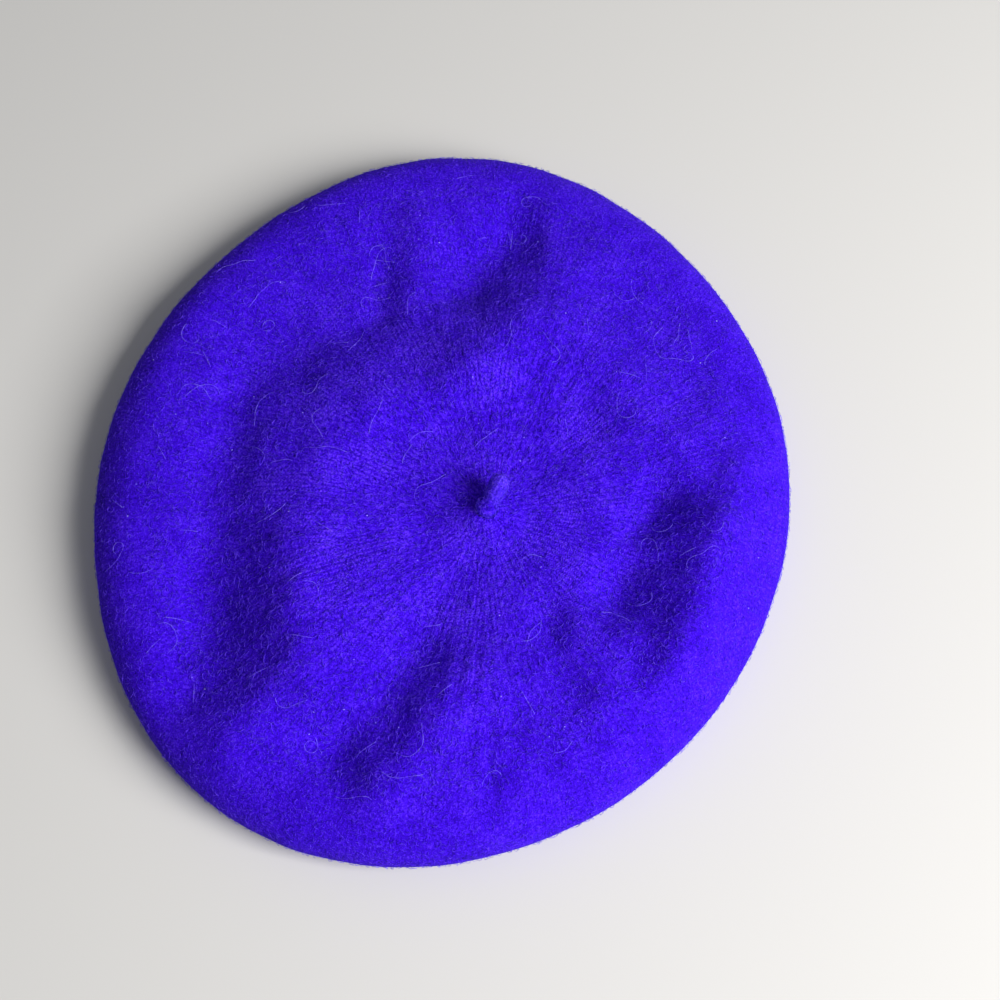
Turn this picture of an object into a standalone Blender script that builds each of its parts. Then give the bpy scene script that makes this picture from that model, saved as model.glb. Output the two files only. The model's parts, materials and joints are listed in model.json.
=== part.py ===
# A wool felt beret lying flat on its head opening, with a slumped crown and a short stem.
# +Z is up, the resting surface is z = 0, and the origin is under the middle of the plan.
# Sizes are in millimetres and angles in degrees; mm turns a size into Blender's metres.

import math

import bmesh
import bpy
from mathutils import Matrix, Vector

mm = 0.001

# Overall sizes
rim_radius = 140.0            # mean radius of the plan outline
head_girth = 540.0            # girth of the head opening, inside the sweatband
felt_thickness = 2.4
clearance = 0.3               # air between neighbouring pieces

# The felt body
hem_height = 21.0             # felt turned up inside the opening
lip_radius = 3.2              # bend between the underside and the hem
rim_height = 9.0              # height of the widest ring
rim_weld = 0.05               # joins the crown's rim to the underside's
rim_roll = 20.0               # how far the roll reaches in from the rim, above
under_roll = 10.0             # the same, below
crown_clearance = 9.1         # air between the hem's edge and the crown's crest over it
crown_rest = 1.5              # least air there, where a fold comes down to the hem
crown_sag = 3.6               # drop of the crown's middle below its crest
slack_height = 24.5           # top of the loose felt between band and rim
crest_inset = 15.0            # the crown's crest lies this far inside the opening's edge
crest_fall = 44.0             # plan width of the slope outside the crest
support_reach = 12.0          # how far in and out the hem still holds the crown up
crown_shift = 0.52            # share of the slack by which the crown sits off the middle
crown_shift_direction = -50.0
stem_patch_radius = 14.0      # felt round the stem that keeps its round shape

# Lobes that make the plan out of round: count, share of the radius, direction of one lobe
outline_lobes = ((2, 0.058, 77.0), (3, 0.010, -16.0), (4, 0.008, -12.0), (5, 0.005, 18.0))

# Folds of the slumped felt. Both ends and the width are shares of the rim radius, measured
# from the middle of the outline, and the last value is the rise in millimetres.
folds = {
    "front_crease": ((-0.05, -0.53), (-0.24, -0.77), 0.079, -4.2),
    "front_roll": ((0.09, -0.62), (-0.11, -0.87), 0.086, 4.2),
    "front_cheek": ((-0.18, -0.35), (-0.29, -0.62), 0.129, 2.6),
    "right_hollow": ((0.46, -0.39), (0.57, -0.11), 0.079, -5.2),
    "right_roll": ((0.63, -0.56), (0.73, -0.24), 0.086, 6.4),
    "right_knuckle": ((0.75, -0.15), (0.81, -0.03), 0.071, 2.2),
    "east_dimple": ((0.36, 0.17), (0.41, 0.08), 0.086, -1.6),
    "west_crest": ((-0.37, -0.59), (-0.35, -0.27), 0.100, 4.6),
    "west_shoulder": ((-0.34, -0.09), (-0.22, 0.17), 0.107, 2.6),
    "lower_crest": ((-0.44, -0.66), (-0.52, -0.75), 0.093, 3.2),
    "left_hollow": ((-0.65, -0.63), (-0.59, -0.42), 0.100, -4.4),
    "left_trough": ((-0.59, -0.27), (-0.55, 0.17), 0.100, -2.4),
    "left_roll": ((-0.79, -0.13), (-0.69, 0.51), 0.107, 1.8),
    "far_crest": ((-0.16, 0.15), (0.08, 0.25), 0.093, 3.0),
    "far_ridge": ((0.11, 0.28), (0.38, 0.61), 0.121, 4.6),
    "far_trough": ((-0.39, 0.37), (-0.08, 0.47), 0.093, -2.6),
    "far_hollow": ((0.08, 0.54), (0.16, 0.71), 0.093, -5.0),
    "far_rib": ((-0.09, 0.50), (-0.06, 0.78), 0.064, 2.2),
}

# The stem and its anchor
stem_length = 13.5            # hinge to tip
stem_tip_radius = 3.3
stem_root_radius = 4.0
stem_azimuth = 57.0           # plan direction in which it leans
stem_elevation = 33.0
stem_hole_radius = 2.2        # hole in the crown for the stem's tail
knot_radius = 5.0
knot_height = 4.0

# Sweatband, labels and threads
ribbon_thickness = 0.8
ribbon_low_edge = 2.5
ribbon_hem_margin = 1.5       # hem left bare above the ribbon
join_angle = 105.0            # the lap of the ribbon, at the back
thread_radius = 0.35
stitch_relief = 0.2           # how far the thread rises between stitches
seam_inset = 1.6              # ribbon seam above the ribbon's lower edge
size_label_angle = 120.0
size_label_height = 10.5
size_label_thickness = 0.4
size_label_hem = 1.2          # its stitching runs this far inside its edge
care_label_angle = 75.0
care_label_width = 20.0
care_label_seam_gap = 0.5     # between the label's lower edge and the ribbon's seam
care_label_thickness = 1.0

# Facets
segments = 48                 # round the opening and the rim
crown_rows = 13
roll_rows = 5
lip_rows = 4
stem_segments = 20

step_angle = 360.0 / segments
band_radius = head_girth / (2.0 * math.pi)
hem_radius = band_radius + ribbon_thickness + clearance
lip_outer_radius = hem_radius + lip_radius
crest_radius = hem_radius - crest_inset
crown_top = hem_height + crown_clearance + felt_thickness
ribbon_width = hem_height - ribbon_hem_margin - ribbon_low_edge
ribbon_high_edge = ribbon_low_edge + ribbon_width
seam_height = ribbon_low_edge + seam_inset

collection = None


def start_scene():
    global collection
    for item in list(bpy.data.objects):
        bpy.data.objects.remove(item, do_unlink=True)
    collection = bpy.data.collections.new("beret")
    bpy.context.scene.collection.children.link(collection)


def material(name, color, roughness, sheen=0.0):
    made = bpy.data.materials.new(name)
    made.use_nodes = True
    shader = made.node_tree.nodes["Principled BSDF"]
    shader.inputs["Base Color"].default_value = (*color, 1.0)
    shader.inputs["Roughness"].default_value = roughness
    shader.inputs["Metallic"].default_value = 0.0
    shader.inputs["Sheen Weight"].default_value = sheen
    made.diffuse_color = (*color, 1.0)
    return made


def add_object(name, mesh, finish):
    made = bpy.data.objects.new(name, mesh)
    collection.objects.link(made)
    mesh.materials.clear()
    mesh.materials.append(finish)
    mesh.shade_smooth()
    if isinstance(mesh, bpy.types.Mesh):
        mesh.set_sharp_from_angle(angle=math.radians(50.0))
    return made


def evaluated_mesh(item):
    """The item's mesh with its modifiers applied; the item itself is removed."""
    graph = bpy.context.evaluated_depsgraph_get()
    mesh = bpy.data.meshes.new_from_object(item.evaluated_get(graph))
    bpy.data.objects.remove(item, do_unlink=True)
    return mesh


def smooth(share):
    share = min(max(share, 0.0), 1.0)
    return share * share * (3.0 - 2.0 * share)


def direction(angle):
    return Vector((math.cos(math.radians(angle)), math.sin(math.radians(angle))))


# Plan outline and crown surface

def outline_point(angle):
    """A point of the rim, from the middle of the outline's own lobes."""
    lobes = sum(share * math.cos(math.radians(count * (angle - lobe)))
                for count, share, lobe in outline_lobes)
    return direction(angle) * rim_radius * (1.0 + lobes)


def outline_middle():
    """Middle of the outline's bounding box."""
    points = [outline_point(angle) for angle in range(360)]
    xs = [point.x for point in points]
    ys = [point.y for point in points]
    return Vector(((min(xs) + max(xs)) / 2.0, (min(ys) + max(ys)) / 2.0))


lobe_middle = -outline_middle()
slack = rim_radius - hem_radius
crown_middle = lobe_middle + direction(crown_shift_direction) * slack * crown_shift


def reach(angle):
    """Distance from the crown's middle to the rim in a direction."""
    offset = crown_middle - lobe_middle
    trial = angle
    for _ in range(30):
        arm = outline_point(trial) - offset
        error = angle - math.degrees(math.atan2(arm.y, arm.x))
        trial += (error + 180.0) % 360.0 - 180.0
    return (outline_point(trial) - offset).length


def fold_rise(point):
    """Sum of the folds at a plan point."""
    rise = 0.0
    for start, end, width, height in folds.values():
        first = lobe_middle + Vector(start) * rim_radius
        along = Vector(end) * rim_radius - Vector(start) * rim_radius
        share = min(max((point - first).dot(along) / along.length_squared, 0.0), 1.0)
        gap = (point - first - along * share).length
        rise += height * math.exp(-(gap / (width * rim_radius)) ** 2)
    return rise


def crown_height(point):
    """Outer surface of the crown at a plan point, before it rolls over the rim."""
    distance = (point - crown_middle).length
    sagged = crown_sag * (1.0 - smooth(distance / crest_radius))
    fallen = (crown_top - slack_height) * smooth((distance - crest_radius) / crest_fall)
    return max(crown_top - sagged - fallen + fold_rise(point), hem_support(distance))


def hem_support(distance):
    """Lowest the crown's outer surface comes over the hem; 0 where nothing stands under it."""
    start = smooth((distance - band_radius + support_reach) / support_reach)
    end = 1.0 - smooth((distance - lip_outer_radius) / support_reach)
    return (hem_height + crown_rest + 1.3 * felt_thickness) * start * end


def roll_share(depth, width):
    """Quarter ellipse: 0 at the rim, 1 at the roll's full width and further in."""
    inward = min(max(depth / width, 0.0), 1.0)
    return math.sqrt(1.0 - (1.0 - inward) ** 2)


crown_middle_height = crown_height(crown_middle)


# The felt body

def turned(name, profile, steps):
    """An open surface turned from (radius, height) points that run down its outer side."""
    mesh = bpy.data.meshes.new(name)
    points = [(radius * mm, 0.0, height * mm) for radius, height in profile]
    edges = [(index, index + 1) for index in range(len(points) - 1)]
    mesh.from_pydata(points, edges, [])
    item = bpy.data.objects.new(name, mesh)
    collection.objects.link(item)
    screw = item.modifiers.new("turn", "SCREW")
    screw.angle = math.radians(360.0)
    screw.steps = steps
    screw.render_steps = steps
    screw.use_merge_vertices = True
    screw.merge_threshold = 0.01 * mm
    return evaluated_mesh(item)


def quarter(count):
    """Angles of a quarter turn, in radians, without its first."""
    return [math.pi / 2.0 * index / count for index in range(1, count + 1)]


def crown_blank():
    """Round blank of the crown: stem hole to rim."""
    flat_end = rim_radius - rim_roll
    rows = [stem_hole_radius + (flat_end - stem_hole_radius) * index / crown_rows
            for index in range(crown_rows + 1)]
    profile = [(radius, crown_top) for radius in rows]
    for turn in quarter(roll_rows):
        drop = (crown_top - rim_height) * (1.0 - math.cos(turn))
        profile.append((flat_end + rim_roll * math.sin(turn), crown_top - drop))
    return turned("crown_blank", profile, segments)


def roll_width_below(width):
    """Width of the lower roll where the underside has this width: never more than it has."""
    return under_roll * width / (width + under_roll)


def underside_blank():
    """Round blank of the underside: rim to the top of the hem."""
    width = roll_width_below(rim_radius - lip_outer_radius)
    profile = [(rim_radius, rim_height)]
    for turn in quarter(roll_rows):
        profile.append((rim_radius - width * (1.0 - math.cos(turn)),
                        rim_height * (1.0 - math.sin(turn))))
    profile.append((lip_outer_radius, 0.0))
    for turn in quarter(lip_rows):
        profile.append((lip_outer_radius - lip_radius * math.sin(turn),
                        lip_radius * (1.0 - math.cos(turn))))
    profile.append((hem_radius, (lip_radius + hem_height) / 2.0))
    profile.append((hem_radius, hem_height))
    return turned("underside_blank", profile, segments)


def stretched(radius, rim, kept, blank_edge, edge):
    """Radius of a blank's row once its rim is at another distance. Rows inside kept stay
    put, rows in the edge move with the rim, and rows between them share the rest."""
    if radius <= kept:
        return radius
    blank_flat = rim_radius - blank_edge
    if radius >= blank_flat:
        return rim - (rim_radius - radius) * edge / blank_edge
    return kept + (radius - kept) * (rim - edge - kept) / (blank_flat - kept)


def settle_crown(mesh):
    for vertex in mesh.vertices:
        plan = Vector(vertex.co.xy) / mm
        angle = math.degrees(math.atan2(plan.y, plan.x))
        rim = reach(angle)
        radius = stretched(plan.length, rim, stem_patch_radius, rim_roll, rim_roll)
        point = crown_middle + direction(angle) * radius
        share = roll_share(rim - radius, rim_roll)
        height = rim_height + (crown_height(point) - rim_height) * share
        vertex.co = Vector((point.x, point.y, height)) * mm


def settle_underside(mesh):
    blank_edge = roll_width_below(rim_radius - lip_outer_radius)
    for vertex in mesh.vertices:
        plan = Vector(vertex.co.xy) / mm
        angle = math.degrees(math.atan2(plan.y, plan.x))
        rim = reach(angle)
        edge = roll_width_below(rim - lip_outer_radius)
        radius = stretched(plan.length, rim, lip_outer_radius, blank_edge, edge)
        point = crown_middle + direction(angle) * radius
        vertex.co = Vector((point.x * mm, point.y * mm, vertex.co.z))


def make_felt_body(finish):
    crown = crown_blank()
    settle_crown(crown)
    underside = underside_blank()
    settle_underside(underside)
    skin = bmesh.new()
    skin.from_mesh(crown)
    skin.from_mesh(underside)
    bmesh.ops.remove_doubles(skin, verts=skin.verts, dist=rim_weld * mm)
    mesh = bpy.data.meshes.new("felt_body")
    skin.to_mesh(mesh)
    skin.free()
    body = add_object("felt_body", mesh, finish)
    wall = body.modifiers.new("felt", "SOLIDIFY")
    wall.thickness = felt_thickness * mm
    wall.offset = -1.0
    wall.use_even_offset = True
    wall.use_quality_normals = True
    return body


# Stem and anchor, turned round their own upright axis

def make_stem(finish):
    """The nub, with its ball-shaped root centred on the hinge."""
    tip_middle = stem_length - stem_tip_radius
    neck = math.radians(40.0)
    profile = [(0.0, stem_length)]
    for turn in quarter(4):
        profile.append((stem_tip_radius * math.sin(turn),
                        tip_middle + stem_tip_radius * math.cos(turn)))
    for index in range(5):
        turn = neck + (math.pi - neck) * index / 4
        profile.append((stem_root_radius * math.sin(turn), stem_root_radius * math.cos(turn)))
    profile[-1] = (0.0, -stem_root_radius)
    stem = add_object("stem", turned("stem", profile, stem_segments), finish)
    stem.location = Vector((*crown_middle, hinge_height())) * mm
    stem.rotation_euler = (0.0, math.radians(90.0 - stem_elevation), math.radians(stem_azimuth))
    return stem


def hinge_height():
    return crown_middle_height + clearance + stem_root_radius


def make_stem_anchor(finish):
    """The tail in the crown's hole and the knot under it."""
    shank_radius = stem_hole_radius - clearance
    knot_top = crown_middle_height - felt_thickness - clearance
    profile = [(0.0, crown_middle_height), (shank_radius, crown_middle_height),
               (shank_radius, knot_top)]
    for index in range(1, 6):
        turn = math.pi * index / 6
        profile.append((shank_radius + (knot_radius - shank_radius) * math.sin(turn),
                        knot_top - knot_height * (1.0 - math.cos(turn)) / 2.0))
    profile.append((0.0, knot_top - knot_height))
    anchor = add_object("stem_anchor", turned("stem_anchor", profile, stem_segments), finish)
    anchor.location = Vector((*crown_middle, 0.0)) * mm
    return anchor


# Sweatband, labels and threads

def ring_point(angle, radius):
    return crown_middle + direction(angle) * radius


def ribbon_course():
    """Inner face of the sweatband in plan, as (angle, radius). Its last step laps over its
    first, one ribbon and a clearance further in."""
    course = [(join_angle + step_angle * index, band_radius) for index in range(segments)]
    lapped = band_radius - ribbon_thickness - clearance
    course.append((join_angle + 360.0, lapped))
    course.append((join_angle + 360.0 + step_angle, lapped))
    return course


def stood_strip(name, course, low, width, thickness, finish):
    """A strip stood on edge along (angle, radius) points of its inner face."""
    strip = bmesh.new()
    corners = [strip.verts.new((*ring_point(angle, radius) * mm, low * mm))
               for angle, radius in course]
    edges = [strip.edges.new(pair) for pair in zip(corners, corners[1:])]
    raised = bmesh.ops.extrude_edge_only(strip, edges=edges)["geom"]
    tops = [part for part in raised if isinstance(part, bmesh.types.BMVert)]
    bmesh.ops.translate(strip, verts=tops, vec=(0.0, 0.0, width * mm))
    strip.normal_update()
    strip.faces.ensure_lookup_table()
    first = strip.faces[0]
    to_middle = crown_middle * mm - first.calc_center_median().xy
    if first.normal.xy.dot(to_middle) < 0.0:
        bmesh.ops.reverse_faces(strip, faces=strip.faces)
    mesh = bpy.data.meshes.new(name)
    strip.to_mesh(mesh)
    strip.free()
    made = add_object(name, mesh, finish)
    wall = made.modifiers.new("cloth", "SOLIDIFY")
    wall.thickness = thickness * mm
    wall.offset = -1.0
    return made


def thread(name, points, finish, closed=False):
    """A sewing thread through points in millimetres."""
    curve = bpy.data.curves.new(name, "CURVE")
    curve.dimensions = "3D"
    curve.bevel_depth = thread_radius * mm
    curve.bevel_resolution = 1
    curve.use_fill_caps = not closed
    line = curve.splines.new("POLY")
    line.points.add(len(points) - 1)
    line.use_cyclic_u = closed
    for spot, point in zip(line.points, points):
        spot.co = (*Vector(point) * mm, 1.0)
    made = bpy.data.objects.new(name, curve)
    collection.objects.link(made)
    sewn = evaluated_mesh(made)
    weld = bmesh.new()
    weld.from_mesh(sewn)
    bmesh.ops.remove_doubles(weld, verts=weld.verts, dist=0.001 * mm)
    weld.to_mesh(sewn)
    weld.free()
    sewn.name = name
    return add_object(name, sewn, finish)


def on_face(angle, radius, height, relief=0.0):
    """A thread's point over a face whose radius is given."""
    plan = ring_point(angle, radius - clearance - thread_radius - relief)
    return (plan.x, plan.y, height)


def make_sweatband_stitching(finish):
    """One thread round the ribbon's lower edge, from clear of the lap to its end."""
    course = ribbon_course()
    points = []
    for (angle, radius), (next_angle, next_radius) in zip(course[2:], course[3:]):
        halfway = (radius + next_radius) / 2.0 * math.cos(math.radians(step_angle / 2.0))
        points.append(on_face(angle, radius, seam_height))
        points.append(on_face((angle + next_angle) / 2.0, halfway, seam_height, stitch_relief))
    return thread("sweatband_stitching", points, finish)


def make_join_stitching(finish):
    """Zigzag bar tack on the lap."""
    face = ribbon_course()[-1][1]
    low = seam_height + seam_inset
    high = ribbon_high_edge - seam_inset
    count = 7
    points = []
    for index in range(count):
        angle = join_angle + step_angle * (0.25 if index % 2 else 0.75)
        points.append(on_face(angle, face * math.cos(math.radians(step_angle / 4)),
                              low + (high - low) * index / (count - 1)))
    return thread("sweatband_join_stitching", points, finish)


def size_label_low():
    return seam_height + thread_radius + clearance


def size_label_steps():
    return [size_label_angle + step_angle * index for index in range(3)]


def make_size_label(finish):
    face = band_radius - clearance - size_label_thickness
    course = [(angle, face) for angle in size_label_steps()]
    return stood_strip("size_label", course, size_label_low(), size_label_height,
                       size_label_thickness, finish)


def make_size_label_stitching(finish):
    face = band_radius - clearance - size_label_thickness
    inset = math.degrees(size_label_hem / face)
    first, middle, last = size_label_steps()
    low = size_label_low() + size_label_hem
    high = size_label_low() + size_label_height - size_label_hem
    slant = face * math.cos(math.radians(step_angle / 2.0))
    points = [on_face(first + inset, slant, low), on_face(middle, face, low),
              on_face(last - inset, slant, low), on_face(last - inset, slant, high),
              on_face(middle, face, high), on_face(first + inset, slant, high)]
    return thread("size_label_stitching", points, finish, closed=True)


def care_label_face():
    """Plan distance of the care label's outer side: clear of the ribbon's corners."""
    half_angle = math.degrees(math.asin(care_label_width / 2.0 / band_radius))
    return band_radius * math.cos(math.radians(max(half_angle, step_angle))) - clearance


def care_hinge_height():
    return care_seam_height() - thread_radius - clearance - care_label_thickness / 2.0


def care_seam_height():
    return ribbon_high_edge - 2.0 * thread_radius


def make_care_label(finish):
    """Flat label with a rounded upper edge, hanging from that edge's middle."""
    half = care_label_thickness / 2.0
    length = care_hinge_height() - seam_height - thread_radius - care_label_seam_gap
    outline = [(half * math.cos(math.pi * index / 6), half * math.sin(math.pi * index / 6))
               for index in range(7)]
    outline += [(-half, -length), (half, -length)]
    curve = bpy.data.curves.new("care_label", "CURVE")
    curve.dimensions = "2D"
    curve.fill_mode = "BOTH"
    curve.extrude = care_label_width / 2.0 * mm
    line = curve.splines.new("POLY")
    line.points.add(len(outline) - 1)
    line.use_cyclic_u = True
    for spot, (across, along) in zip(line.points, outline):
        spot.co = (across * mm, along * mm, 0.0, 1.0)
    item = bpy.data.objects.new("care_label", curve)
    collection.objects.link(item)
    mesh = evaluated_mesh(item)
    weld = bmesh.new()
    weld.from_mesh(mesh)
    bmesh.ops.remove_doubles(weld, verts=weld.verts, dist=0.001 * mm)
    weld.to_mesh(mesh)
    weld.free()
    label = add_object("care_label", mesh, finish)
    plan = ring_point(care_label_angle, care_label_face() - half)
    across = Vector((*direction(care_label_angle), 0.0))
    frame = Matrix((across, (0.0, 0.0, 1.0), across.cross(Vector((0.0, 0.0, 1.0))))).transposed()
    label.rotation_euler = frame.to_euler()
    label.location = Vector((plan.x, plan.y, care_hinge_height())) * mm
    return label


def make_care_label_stitching(finish):
    """A straight seam over the ribbon's upper edge, as wide as the label."""
    half_angle = math.degrees(math.asin(care_label_width / 2.0 / band_radius))
    face = band_radius * math.cos(math.radians(step_angle / 4.0))
    points = []
    for index in range(9):
        angle = care_label_angle + half_angle * (index / 4.0 - 1.0)
        points.append(on_face(angle, face, care_seam_height(), stitch_relief * (index % 2)))
    return thread("care_label_stitching", points, finish)


def build():
    start_scene()
    felt = material("blue_violet_felt", (0.050, 0.012, 0.63), 0.95, sheen=0.4)
    ribbon = material("grosgrain", (0.020, 0.008, 0.18), 0.7)
    sewing = material("sewing_thread", (0.035, 0.010, 0.38), 0.6)
    satin = material("label_satin", (0.75, 0.74, 0.72), 0.45)
    make_felt_body(felt)
    make_stem(felt)
    make_stem_anchor(felt)
    stood_strip("sweatband", ribbon_course(), ribbon_low_edge, ribbon_width,
                ribbon_thickness, ribbon)
    make_sweatband_stitching(sewing)
    make_join_stitching(sewing)
    make_size_label(satin)
    make_size_label_stitching(sewing)
    make_care_label(satin)
    make_care_label_stitching(sewing)


build()
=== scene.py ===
import json
import math
import random

import bmesh
import bpy
import numpy as np
from mathutils import Matrix, Vector, noise
from mathutils.bvhtree import BVHTree


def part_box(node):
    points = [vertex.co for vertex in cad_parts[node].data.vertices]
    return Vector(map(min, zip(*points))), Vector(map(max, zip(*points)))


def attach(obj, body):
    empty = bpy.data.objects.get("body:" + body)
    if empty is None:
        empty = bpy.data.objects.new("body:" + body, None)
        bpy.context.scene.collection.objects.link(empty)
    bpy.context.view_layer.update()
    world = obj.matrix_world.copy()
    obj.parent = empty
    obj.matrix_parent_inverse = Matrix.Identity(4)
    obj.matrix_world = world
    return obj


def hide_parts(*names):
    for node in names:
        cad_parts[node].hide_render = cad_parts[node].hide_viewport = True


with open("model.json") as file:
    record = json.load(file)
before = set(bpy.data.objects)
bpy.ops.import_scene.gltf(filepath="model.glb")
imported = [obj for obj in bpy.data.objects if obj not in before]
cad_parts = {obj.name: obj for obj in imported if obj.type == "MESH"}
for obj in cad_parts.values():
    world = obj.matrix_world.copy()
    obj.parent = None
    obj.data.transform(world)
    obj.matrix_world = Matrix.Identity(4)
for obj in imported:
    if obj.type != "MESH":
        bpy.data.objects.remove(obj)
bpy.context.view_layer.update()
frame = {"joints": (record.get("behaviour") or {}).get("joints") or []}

mm = 0.001
joints = {joint["name"]: joint for joint in frame["joints"]}
stemHinge = np.array(joints["stem_lean"]["pos_m"]) / mm
crownMiddle = stemHinge[:2]
careJoint = joints["care_label_flip"]
careHinge = Vector(np.array(careJoint["pos_m"]) / mm)

# Camera

cameraSetup = {
    "place": (0.0216, -0.2439, 0.5367),   # above the near side, a little to the right
    "tilt": 24.0,                         # degrees from straight down
    "lens": 54.0,
}


def makeCamera(setup):
    data = bpy.data.cameras.new("mainCamera")
    data.lens = setup["lens"]
    data.sensor_width = 36.0
    data.clip_start = 0.01
    camera = bpy.data.objects.new("mainCamera", data)
    camera.location = setup["place"]
    camera.rotation_euler = (math.radians(setup["tilt"]), 0.0, 0.0)
    bpy.context.scene.collection.objects.link(camera)
    bpy.context.scene.camera = camera


makeCamera(cameraSetup)
print("camera set")

# Pieces and node trees


def addPiece(name, mesh, finish):
    piece = bpy.data.objects.new(name, mesh)
    bpy.context.scene.collection.objects.link(piece)
    mesh.materials.clear()
    mesh.materials.append(finish)
    mesh.shade_smooth()
    return piece


def plainMesh(item):
    # the mesh of an object with its modifiers or bevel applied
    graph = bpy.context.evaluated_depsgraph_get()
    return bpy.data.meshes.new_from_object(item.evaluated_get(graph))


def applyModifiers(piece):
    mesh = plainMesh(piece)
    piece.modifiers.clear()
    piece.data = mesh
    mesh.shade_smooth()


def thicken(piece, thickness, offset=-1.0):
    wall = piece.modifiers.new("wall", "SOLIDIFY")
    wall.thickness = thickness * mm
    wall.offset = offset
    applyModifiers(piece)


def cleanMesh(mesh, weld=0.0):
    # joins points closer than the weld, in millimetres, and turns every face outward
    work = bmesh.new()
    work.from_mesh(mesh)
    if weld:
        bmesh.ops.remove_doubles(work, verts=work.verts, dist=weld * mm)
    bmesh.ops.recalc_face_normals(work, faces=work.faces)
    work.to_mesh(mesh)
    work.free()


def cornerPlaces(mesh, columns):
    # row and column in its grid of every face corner
    index = np.empty(len(mesh.loops), dtype=int)
    mesh.loops.foreach_get("vertex_index", index)
    return index // columns, index % columns


def setUv(mesh, name, values):
    layer = mesh.uv_layers.new(name=name)
    layer.data.foreach_set("uv", values.reshape(-1, 2).astype(np.float32).ravel())


def fillInputs(node, inputs):
    # links a socket to each named input, or sets its value
    for key, value in inputs.items():
        if isinstance(value, bpy.types.NodeSocket):
            node.id_data.links.new(value, node.inputs[key])
        else:
            node.inputs[key].default_value = value


def nodeMaker(tree):
    # short helpers for one tree: add a node with its settings and inputs, or a math node
    def add(kind, inputs=None, **settings):
        node = tree.nodes.new(kind)
        for key, value in settings.items():
            setattr(node, key, value)
        fillInputs(node, inputs or {})
        return node

    def calc(operation, first, second=None):
        values = {0: first} if second is None else {0: first, 1: second}
        return add("ShaderNodeMath", values, operation=operation).outputs[0]

    return add, calc


def newMaterial(name):
    material = bpy.data.materials.new(name)
    material.use_nodes = True
    tree = material.node_tree
    return material, tree.nodes["Principled BSDF"], *nodeMaker(tree)


def noiseAt(add, source, scale, detail, roughness=0.5, distortion=0.0):
    return add("ShaderNodeTexNoise", {"Vector": source, "Scale": scale, "Detail": detail,
                                      "Roughness": roughness,
                                      "Distortion": distortion}).outputs["Fac"]


def mapRange(add, value, start, end, first=0.0, last=1.0):
    return add("ShaderNodeMapRange", {"Value": value, "From Min": start, "From Max": end,
                                      "To Min": first, "To Max": last}).outputs["Result"]


def weighedSum(calc, parts, weights):
    # adds up the parts, each times its own weight
    total = None
    for name, part in parts.items():
        share = calc("MULTIPLY", part, weights[name])
        total = share if total is None else calc("ADD", total, share)
    return total


def colorRamp(add, fac, stops):
    node = add("ShaderNodeValToRGB", {"Fac": fac})
    stopList = node.color_ramp.elements
    while len(stopList) < len(stops):
        stopList.new(0.5)
    for stop, (position, color) in zip(stopList, stops):
        stop.position = position
        stop.color = (*color, 1.0)
    return node.outputs["Color"]


def bumpNormal(add, height, strength, distance):
    return add("ShaderNodeBump", {"Height": height, "Strength": strength,
                                  "Distance": distance * mm}).outputs[0]


def newGeometryTree(name, sockets):
    # a tree with named inputs; returns it with its input and output nodes
    tree = bpy.data.node_groups.new(name, "GeometryNodeTree")
    tree.interface.new_socket("Geometry", in_out="INPUT", socket_type="NodeSocketGeometry")
    for label, kind in sockets:
        tree.interface.new_socket(label, in_out="INPUT", socket_type="NodeSocket" + kind)
    tree.interface.new_socket("Geometry", in_out="OUTPUT", socket_type="NodeSocketGeometry")
    return tree, tree.nodes.new("NodeGroupInput"), tree.nodes.new("NodeGroupOutput")


def runTree(name, baseMesh, tree, values, finish):
    # makes one plain mesh from a base mesh with a Geometry Nodes tree
    piece = bpy.data.objects.new(name, baseMesh)
    bpy.context.scene.collection.objects.link(piece)
    modifier = piece.modifiers.new(name, "NODES")
    modifier.node_group = tree
    for socket in tree.interface.items_tree:
        if socket.in_out == "INPUT" and socket.name in values:
            modifier[socket.identifier] = values[socket.name]
    applyModifiers(piece)
    bpy.data.meshes.remove(baseMesh)
    piece.data.name = name
    piece.data.materials.clear()
    piece.data.materials.append(finish)
    return piece


# Felt shell. Its outline, rim, underside and hem are those of the CAD's felt_body, in
# millimetres.

feltShape = {
    "rimRadius": 140.0,
    "lobes": ((2, 0.058, 77.0), (3, 0.010, -16.0), (4, 0.008, -12.0), (5, 0.005, 18.0)),
    "thickness": 2.4,
    "holeRadius": 2.2,
    "bandRadius": 85.94,
    "hemRadius": 87.04,
    "hemHeight": 21.0,
    "hemSupport": 25.2,       # lowest the crown comes over the hem
    "supportReach": 12.0,
    "supportBlend": 2.0,
    "lipRadius": 3.2,
    "rimHeight": 9.0,
    "rimRoll": 20.0,
    "underRoll": 10.0,
    "crownTop": 32.5,
    "slackHeight": 24.5,
    "crestRadius": 72.0,
    "crestFall": 44.0,
    "rootRadius": 4.0,        # ball of the stem's root
    "rootGap": 0.3,
    "socketRadius": 4.05,
    "seatRise": 2.9,          # felt stands up round the root, least on the leaning side
    "seatReach": 15.0,
    "seatTurn": 57.0,
    "seatSkew": 0.15,
}

feltGrid = {
    "around": 384,
    "crownRows": 76,
    "rollRows": 14,
    "underRollRows": 8,
    "underRows": 7,
    "lipRows": 5,
    "hemRows": 4,
    "knitSectors": 24,
    "knitStart": 2.0,         # of the knit map, in millimetres
    "knitApart": 200.0,       # from one wedge of it to the next
}

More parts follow.
